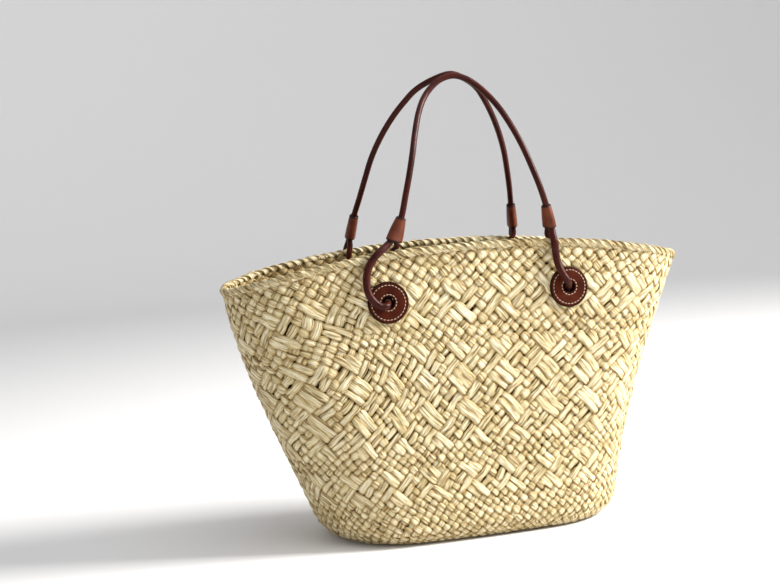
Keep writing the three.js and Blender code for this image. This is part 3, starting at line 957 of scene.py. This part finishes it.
def addPlate():
    # all the strips in one piece
    parts = basePlate()
    faces, start = [], 0
    for points, *_ in parts:
        faces += tubeFaces(1, len(points), plate["sides"], start)
        start += points.shape[0] * points.shape[1]
    points, grain, tone, hollow = (
        np.concatenate([part[k].reshape(-1, width) for part in parts]) for k, width in enumerate((3, 3, 1, 1))
    )
    piece = meshObject("base_plate", points, faces, strawLook, grain=grain, tone=tone, hollow=hollow)
    dress(piece, "basket_body")


addPlate()
print("base woven")

# The cords

cord = {"perSpan": 10, "sides": 18}


def curveThrough(route):
    # centripetal Catmull-Rom: in each span a cubic whose end slopes come from the neighbouring spans,
    # weighted by the square roots of their lengths
    points = np.array([point for point, _ in route])
    girth = np.array([share for _, share in route]) * handle["leg"]
    padded = np.vstack([2 * points[0] - points[1], points, 2 * points[-1] - points[-2]])
    weight = np.sqrt(np.linalg.norm(np.diff(padded, axis=0), axis=1))[:, None]
    p0, p1, p2, p3 = padded[:-3], padded[1:-2], padded[2:-1], padded[3:]
    w0, w1, w2 = weight[:-2], weight[1:-1], weight[2:]
    slope1 = ((p1 - p0) / w0 - (p2 - p0) / (w0 + w1) + (p2 - p1) / w1) * w1
    slope2 = ((p2 - p1) / w1 - (p3 - p1) / (w1 + w2) + (p3 - p2) / w2) * w1
    t = (np.arange(cord["perSpan"]) / cord["perSpan"])[None, :, None]
    p1, p2, slope1, slope2 = (v[:, None] for v in (p1, p2, slope1, slope2))
    line = (
        p1 + slope1 * t
        + (3 * (p2 - p1) - 2 * slope1 - slope2) * t**2
        + (2 * (p1 - p2) + slope1 + slope2) * t**3
    )
    line = np.vstack([line.reshape(-1, 3), points[-1]])
    place = np.arange(len(line)) / cord["perSpan"]
    return line, np.interp(place, np.arange(len(girth)), girth)


def roundTube(line, radius, sides):
    # a circle carried along the line, its first direction turned as little as possible
    run = unitVector(np.gradient(line, axis=0))
    across = np.empty_like(run)
    direction = np.array([0.0, 1, 0])
    for k in range(len(run)):
        direction = unitVector(direction - run[k] * (direction @ run[k]))
        across[k] = direction
    second = np.cross(run, across)
    angle = 2 * math.pi * np.arange(sides) / sides
    return (
        line[:, None]
        + across[:, None] * (radius[:, None] * np.cos(angle))[..., None]
        + second[:, None] * (radius[:, None] * np.sin(angle))[..., None]
    )


def addCord(name, node, side, arch):
    # one handle from its tucked end over the arch to the other tucked end
    left, right = (end for end in ends if end["side"] == side)
    rise = [(archPoint(left, row), girths["arch"]) for row in arch]
    fall = [(archPoint(right, row), girths["arch"]) for row in reversed(arch[:-1])]
    line, radius = curveThrough([*legRoute(left), *rise, *fall, *reversed(legRoute(right))])
    points = roundTube(line, radius, cord["sides"])
    edge = np.zeros(points.shape[:2])
    faces = tubeFaces(1, len(points), cord["sides"])
    piece = meshObject(name, points, faces, cordLook, edge=edge.reshape(-1, 1))
    dress(piece, node)
    length = np.linalg.norm(np.diff(line, axis=0), axis=1).sum()
    print(f"{name}: {length:.3f} m long")


addCord("cord_front", "handle_front", -1, frontArch)
addCord("cord_back", "handle_back", 1, backArch)

# The sleeves

sleeve = {
    "sides": 40,
    "rings": 34,
    "flare": 1.6,
    "edgeRound": 0.04,  # shares of the height: the rounded edge, and the dark one and its fading
    "edgeShare": 0.085,
    "edgeFade": 0.03,
    "seamDeep": 0.0004,
    "seamWide": 0.12,
}


def addSleeve(end):
    # an oval mouth narrowing to a round top: the half sizes fall with a power of the height, the edges
    # are rounded, and a seam runs down the side that faces +Y
    mouth, top, axis, wide, deep = sleeveFrame(end)
    rise = np.linspace(0, 1, sleeve["rings"])
    wall = handle["sleeveWall"]
    nearest = np.minimum(rise, 1 - rise) / sleeve["edgeRound"]
    inset = wall / 2 * (1 - np.sqrt(np.clip(1 - (1 - np.minimum(nearest, 1)) ** 2, 0, 1)))
    height = np.concatenate([rise, rise[::-1]])
    drawn = np.concatenate([inset, wall - inset[::-1]])[:, None]
    angle = 2 * math.pi * np.arange(sleeve["sides"]) / sleeve["sides"]
    openShare = (1 - height ** sleeve["flare"])[:, None]
    seamPlace = math.atan2(deep[1], wide[1])
    seam = np.exp(-((np.angle(np.exp(1j * (angle - seamPlace))) / sleeve["seamWide"]) ** 2))
    outer = np.concatenate([np.ones(len(rise)), np.zeros(len(rise))])[:, None]
    halfWide, halfDeep = (
        handle["sleeveTop"] + (handle[key] / 2 - handle["sleeveTop"]) * openShare
        - drawn - sleeve["seamDeep"] * seam * outer
        for key in ("mouthWide", "mouthDeep")
    )
    points = (
        (mouth + (top - mouth) * height[:, None])[:, None]
        + wide * (halfWide * np.cos(angle))[..., None]
        + deep * (halfDeep * np.sin(angle))[..., None]
    )
    fromEnd = np.minimum(height, 1 - height)
    nearEdge = np.clip((sleeve["edgeShare"] - fromEnd) / sleeve["edgeFade"], 0, 1)[:, None]
    # burnished ends and a dark seam outside; the whole inner face takes the dark edge colour, painted shade inside
    # the sleeve
    edge = np.clip(np.maximum(nearEdge, seam * outer) + (1 - outer), 0, 1)
    node = "sleeve_" + end["name"]
    faces = ringFaces(*points.shape[:2])
    piece = meshObject(node + "_leather", points, faces, sleeveLook, edge=edge.reshape(-1, 1))
    dress(piece, node)


for end in ends:
    addSleeve(end)
print("sleeves made")

# The discs and their stitches

discDetail = {
    "sides": 96,
    "crown": 0.0003,
    "groove": 0.0003,
    "grooveWide": 0.0011,
    "outerRing": 0.0168,
    "innerRing": 0.0079,
    "rimRound": 0.8,
    "seat": 0.0034,
    "seatHigh": 0.0006,
    "rimDark": 0.0022,
    "holeDark": 0.0008,
    "rimSteps": 13,
    "faceSteps": 60,
    "lipSteps": 5,
}
stitch = {
    "outer": 30,
    "inner": 15,
    "radius": 0.00035,
    "share": 0.7,
    "sides": 6,
    "rings": 7,
    "sink": 0.00012,
    "uneven": 0.00008,
    "stand": 0.9,  # height of a stitch's middle, and how far its ends dip, in radii
    "dip": 1.6,
    "flat": 1.15,
}


def seatAxes(end):
    # a disc's centre, outward direction and two directions in its plane
    centre, out = seats[end["name"]]
    first = unitVector(np.cross([0, 0, 1.0], out))
    return centre + out * bag["gap"], out, first, np.cross(out, first)


def discProfile():
    # radius and height round the disc's section, outwards along the back, round the rim and back in,
    # with a thin seat round the cord at the bottom of the hole
    edge = np.linspace(0, math.pi, discDetail["rimSteps"])
    half = disc["thick"] / 2
    roundWide = half * discDetail["rimRound"]
    rimRadius = disc["radius"] - roundWide + roundWide * np.sin(edge)
    rimHeight = half - half * np.cos(edge)
    lipRadius = disc["hole"] + disc["bevel"]
    face = np.linspace(disc["radius"] - roundWide, lipRadius, discDetail["faceSteps"])[1:]
    dip = sum(
        np.exp(-(((face - discDetail[ring]) / discDetail["grooveWide"]) ** 2))
        for ring in ("outerRing", "innerRing")
    )
    crown = discDetail["crown"] * np.sin(math.pi * (face - disc["hole"]) / (disc["radius"] - disc["hole"]))
    lip = np.linspace(0, math.pi / 2, discDetail["lipSteps"])[1:]
    radius = np.concatenate([
        [discDetail["seat"]], rimRadius, face, lipRadius - disc["bevel"] * np.sin(lip),
        [disc["hole"], discDetail["seat"]],
    ])
    height = np.concatenate([
        [0], rimHeight, disc["thick"] + crown - discDetail["groove"] * dip,
        disc["thick"] - disc["bevel"] * (1 - np.cos(lip)), [discDetail["seatHigh"]] * 2,
    ])
    return radius, height


def addDisc(end):
    # the profile turned about the disc's axis, darker towards its two edges
    centre, out, first, second = seatAxes(end)
    radius, height = discProfile()
    angle = 2 * math.pi * np.arange(discDetail["sides"]) / discDetail["sides"]
    ring = first * np.cos(angle)[:, None] + second * np.sin(angle)[:, None]
    points = centre + ring[None] * radius[:, None, None] + out * height[:, None, None]
    toRim = 1 - (disc["radius"] - radius) / discDetail["rimDark"]
    toHole = 1 - (radius - disc["hole"]) / discDetail["holeDark"]
    edge = np.broadcast_to(np.clip(np.maximum(toRim, toHole), 0, 1)[:, None], points.shape[:2])
    node = "disc_" + end["name"]
    faces = ringFaces(*points.shape[:2])
    piece = meshObject(node + "_leather", points, faces, discLook, edge=edge.reshape(-1, 1))
    dress(piece, node)


def addStitches(end):
    # short threads bent along two rings: each is a flattened round whose ends dip into the leather
    centre, out, first, second = seatAxes(end)
    parts = []
    for which in ("outer", "inner"):
        ring, count = discDetail[which + "Ring"], stitch[which]
        middle = 2 * math.pi * np.arange(count)[:, None] / count
        share = np.linspace(-1, 1, stitch["rings"])[None, :]
        angle = middle + share * stitch["share"] * math.pi / count
        ringRadius = ring + dice.normal(0, stitch["uneven"], (count, 1)) + 0 * share
        above = stitch["radius"] * (stitch["stand"] - stitch["dip"] * share**4) - stitch["sink"]
        lift = disc["thick"] + above + 0 * angle
        line = (
            centre
            + first * (ringRadius * np.cos(angle))[..., None]
            + second * (ringRadius * np.sin(angle))[..., None]
            + out * lift[..., None]
        )
        thick = stitch["radius"] * np.sqrt(np.clip(1.05 - share**4, 0.05, 1)) * np.ones((count, 1))
        normal = np.broadcast_to(out, line.shape)
        points, a = bandPoints(
            line, normal, thick * stitch["flat"], thick, np.zeros_like(thick), stitch["sides"]
        )
        along = (share * ring * stitch["share"] * math.pi / count)[..., None]
        grain = np.stack([np.broadcast_to(along, a.shape) + a, a, np.zeros(a.shape)], -1)
        parts.append((points, grain))
    faces, start = [], 0
    for points, _ in parts:
        faces += tubeFaces(*points.shape[:3], start)
        start += math.prod(points.shape[:3])
    points = np.concatenate([p.reshape(-1, 3) for p, _ in parts])
    grain = np.concatenate([g.reshape(-1, 3) for _, g in parts])
    piece = meshObject("stitches_" + end["name"], points, faces, threadLook, grain=grain)
    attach(piece, "root")


for end in ends:
    addDisc(end)
    addStitches(end)
print("discs stitched")

# Floor, light and camera

studio = {
    "floorColour": (0.86, 0.86, 0.87),
    "flat": 3.2,
    "curve": 1.6,
    "innerRings": (0.02, 0.5, 1.5),
    "sides": 72,
    "world": (1.0, 1.0, 1.0),
    "worldStrength": 0.48,
}


def addFloor():
    # a dish: a flat round floor whose edge curves up all round
    share, sides = np.linspace(0, math.pi / 2, 20), studio["sides"]
    radius = np.concatenate([studio["innerRings"], studio["flat"] + studio["curve"] * np.sin(share)])
    height = np.concatenate([[0, 0, 0], studio["curve"] * (1 - np.cos(share))])
    angle = 2 * math.pi * np.arange(sides) / sides
    points = np.stack([
        radius[:, None] * np.cos(angle), radius[:, None] * np.sin(angle), height[:, None] + 0 * angle,
    ], -1)
    ring, side = np.meshgrid(np.arange(len(radius) - 1), np.arange(sides), indexing="ij")
    following = (side + 1) % sides
    quads = np.stack([
        ring * sides + side, (ring + 1) * sides + side,
        (ring + 1) * sides + following, ring * sides + following,
    ], -1).reshape(-1, 4)
    middle = np.arange(sides)[None, :]
    material, shader = newMaterial("floor")
    shader.inputs["Base Color"].default_value = (*studio["floorColour"], 1)
    shader.inputs["Roughness"].default_value = 0.9
    shader.inputs["Specular IOR Level"].default_value = 0.1
    meshObject("floor", points, [quads, middle], material)


def addLight(name, azimuth, elevation, distance, size, power, colour, target=(0, 0, 0.2)):
    # a square softbox aimed at the bag
    a, e = math.radians(azimuth), math.radians(elevation)
    back = Vector((math.sin(a) * math.cos(e), -math.cos(a) * math.cos(e), math.sin(e)))
    data = bpy.data.lights.new(name, "AREA")
    data.size = size
    data.energy = power
    data.color = colour
    light = bpy.data.objects.new(name, data)
    light.location = Vector(target) + back * distance
    light.rotation_mode = "QUATERNION"
    light.rotation_quaternion = back.to_track_quat("Z", "Y")
    bpy.context.scene.collection.objects.link(light)


# name, azimuth, elevation, distance, size, power, colour
lights = [
    ("key", 72, 33, 2.2, 0.8, 112, (1.0, 0.98, 0.94)),
    ("top", 10, 70, 2.2, 1.6, 14, (1.0, 1.0, 1.0)),
]

# the photograph's view: azimuth, elevation and roll in degrees, distance and target in metres
view = {
    "azimuth": -15.36,
    "elevation": 4.22,
    "roll": -3.84,
    "distance": 1.44381,
    "target": (-0.07, 0, 0.24277),
    "focalPixels": 1423.65,
    "imageWide": 780,
    "sensor": 36,
    "clip": (0.05, 50),
}


def addCamera():
    # the camera looks back along its own direction, then turns by the roll
    a, e, roll = (math.radians(view[key]) for key in ("azimuth", "elevation", "roll"))
    back = Vector((math.sin(a) * math.cos(e), -math.cos(a) * math.cos(e), math.sin(e)))
    right = (-back).cross(Vector((0, 0, 1))).normalized()
    up = right.cross(-back)
    data = bpy.data.cameras.new("camera")
    data.sensor_width = view["sensor"]
    data.lens = view["focalPixels"] / view["imageWide"] * data.sensor_width
    data.clip_start, data.clip_end = view["clip"]
    camera = bpy.data.objects.new("camera", data)
    x = right * math.cos(roll) + up * math.sin(roll)
    y = -right * math.sin(roll) + up * math.cos(roll)
    camera.matrix_world = Matrix([
        [x[0], y[0], back[0], view["target"][0] + back[0] * view["distance"]],
        [x[1], y[1], back[1], view["target"][1] + back[1] * view["distance"]],
        [x[2], y[2], back[2], view["target"][2] + back[2] * view["distance"]],
        [0, 0, 0, 1],
    ])
    bpy.context.scene.collection.objects.link(camera)
    bpy.context.scene.camera = camera


addCamera()
addFloor()
for row in lights:
    addLight(*row)
world = bpy.data.worlds.new("studio")
world.use_nodes = True
world.node_tree.nodes["Background"].inputs["Color"].default_value = (*studio["world"], 1)
world.node_tree.nodes["Background"].inputs["Strength"].default_value = studio["worldStrength"]
bpy.context.scene.world = world
bpy.context.scene.view_settings.view_transform = "Standard"
print("lit")
